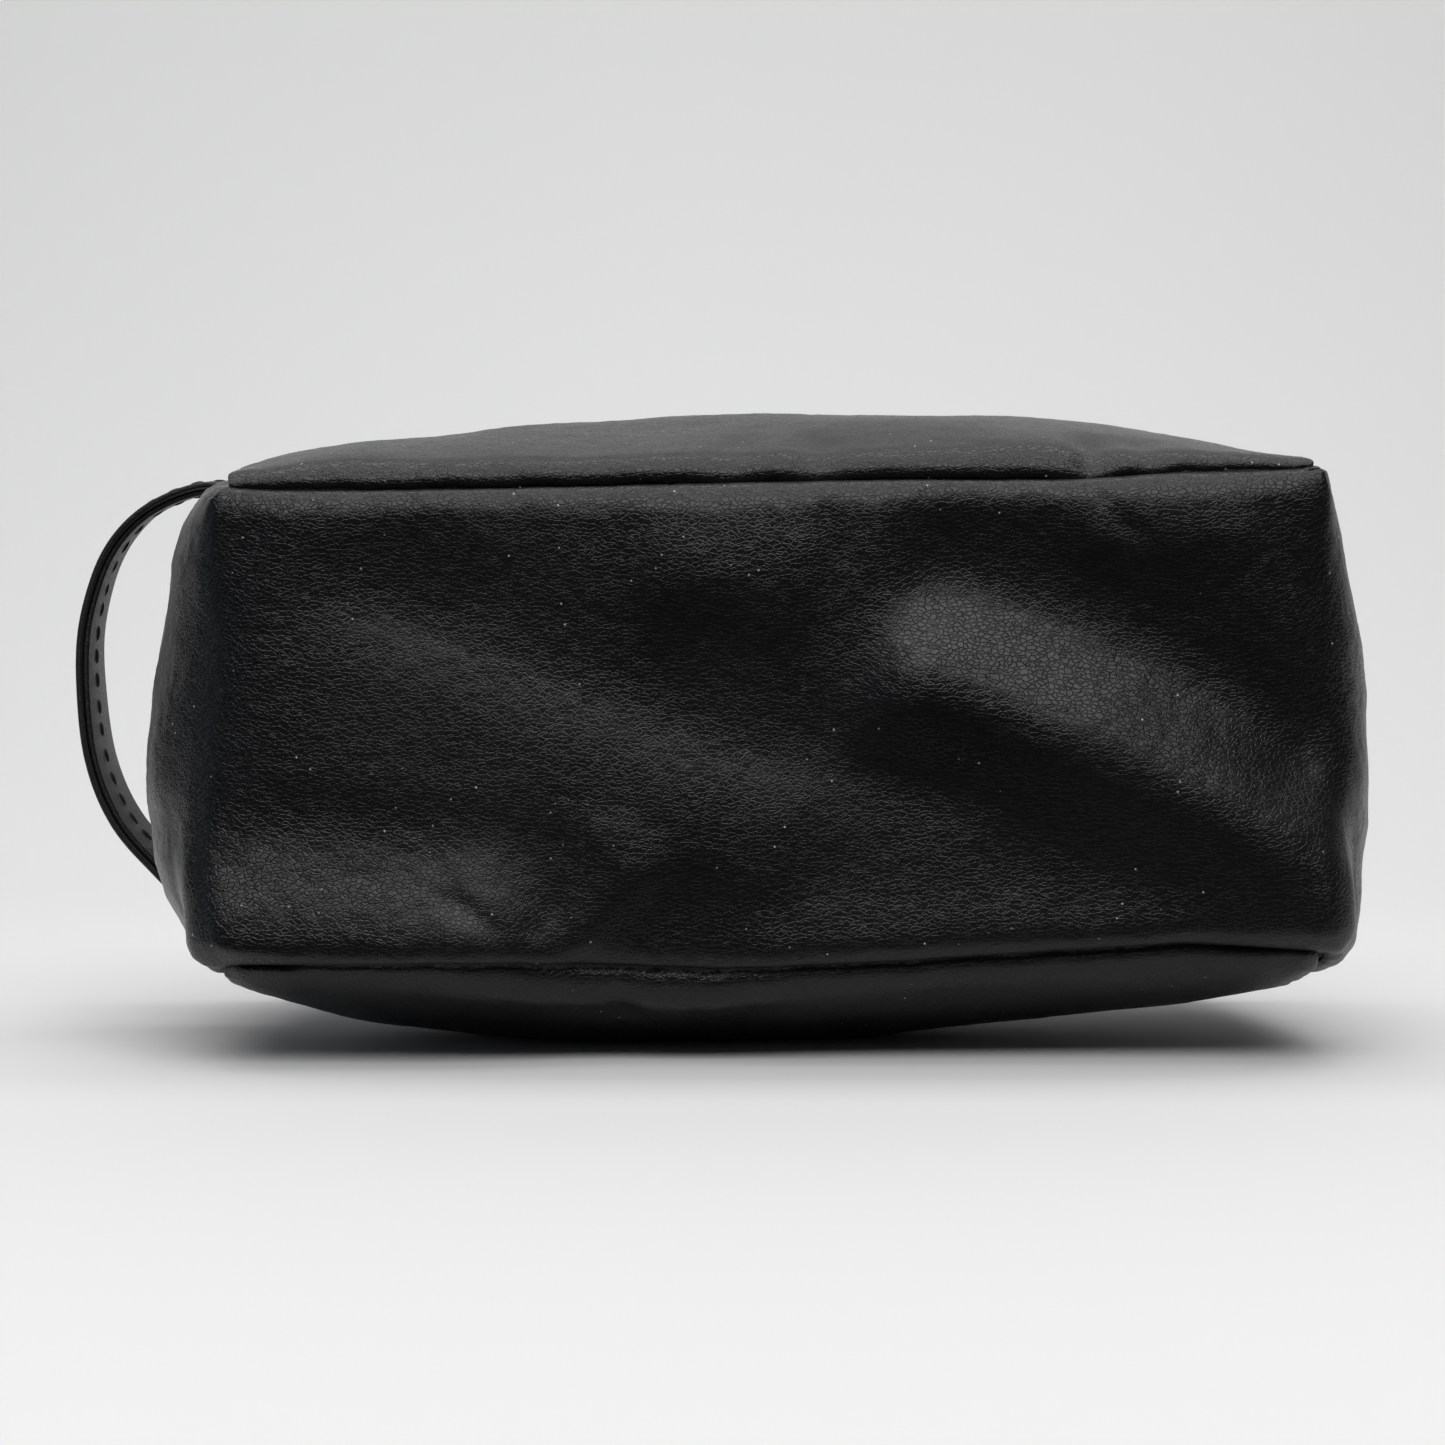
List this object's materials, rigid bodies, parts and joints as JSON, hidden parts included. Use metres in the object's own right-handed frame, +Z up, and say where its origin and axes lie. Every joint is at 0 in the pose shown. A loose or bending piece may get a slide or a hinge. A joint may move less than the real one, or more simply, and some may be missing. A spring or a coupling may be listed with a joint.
{
  "type": "makeup bag",
  "caption": "Soft black faux-leather makeup bag with a centre zip along the top and a wrist loop at one end.",
  "frame": {"origin": "middle of the flat patch of the rear wall that the bag lies on", "axes": "+Z up from the resting surface, +X along the bag away from the wrist loop, +Y from the base panel towards the zip"},
  "size_m": [0.2656, 0.1226, 0.1325],
  "materials": {
    "casing_leather": "soft pebbled black, low gloss",
    "strap_leather": "smooth-grained black with dark painted edges",
    "lining_cloth": "fine woven lining",
    "binding_tape": "woven tape",
    "foam": "grey foam sheet",
    "board": "fibre board",
    "zip_tape": "woven zip tape",
    "zip_metal": "gunmetal",
    "thread": "black thread",
    "label_cloth": "woven satin tag"
  },
  "bodies": {
    "bag_body": {"base_and_end_gusset": "casing_leather", "front_wall_panel": "casing_leather", "rear_wall_panel": "casing_leather", "front_wall_foam": "foam", "rear_wall_foam": "foam", "left_end_foam": "foam", "right_end_foam": "foam", "base_board": "board", "front_wall_lining": "lining_cloth", "rear_wall_lining": "lining_cloth", "gusset_lining": "lining_cloth", "slip_pocket": "lining_cloth", "front_seam_binding": "binding_tape", "rear_seam_binding": "binding_tape", "slip_pocket_binding": "binding_tape", "care_label": "label_cloth", "zip_top_stops": "zip_metal", "zip_bottom_stop": "zip_metal", "lower_loop_root": "strap_leather", "upper_loop_root": "strap_leather"},
    "front_lip_body": {"front_lip": "casing_leather", "front_lip_facing": "lining_cloth", "front_zip_tape": "zip_tape", "front_zip_teeth": "zip_metal"},
    "rear_lip_body": {"rear_lip": "casing_leather", "rear_lip_facing": "lining_cloth", "rear_zip_tape": "zip_tape", "rear_zip_teeth": "zip_metal"},
    "slider_body": {"zip_slider": "zip_metal"},
    "pull_body": {"zip_pull": "zip_metal", "zip_pull_tab": "strap_leather"},
    "loop_body": {"wrist_loop_outer": "strap_leather", "wrist_loop_inner": "strap_leather", "wrist_loop_stitches": "thread"}
  },
  "joints": [
    {"name": "zip_slide", "type": "slide", "parent": "bag_body", "child": "slider_body", "axis": [-1, 0, 0], "range_m": [0, 0.176]},
    {"name": "front_lip_fold", "type": "hinge", "parent": "bag_body", "child": "front_lip_body", "pos_m": [0, 0.0578, 0.1055], "axis": [1, 0, 0], "range_deg": [0, 70], "deforming": ["front_zip_tape", "front_zip_teeth"]},
    {"name": "rear_lip_fold", "type": "hinge", "parent": "bag_body", "child": "rear_lip_body", "pos_m": [0, 0.0578, 0.0255], "axis": [1, 0, 0], "range_deg": [-70, 0], "deforming": ["rear_zip_tape", "rear_zip_teeth"]},
    {"name": "pull_flip", "type": "hinge", "parent": "slider_body", "child": "pull_body", "pos_m": [0.086, 0.06195, 0.0655], "axis": [0, 0, -1], "range_deg": [0, 165]},
    {"name": "loop_swing", "type": "hinge", "parent": "bag_body", "child": "loop_body", "pos_m": [-0.128, 0.003, 0.0655], "axis": [0, 0, 1], "range_deg": [-40, 40]}
  ],
  "couplings": [
    {"joint": "front_lip_fold", "follows": "zip_slide", "rad_per_m": 6.935},
    {"joint": "rear_lip_fold", "follows": "zip_slide", "rad_per_m": -6.935}
  ]
}
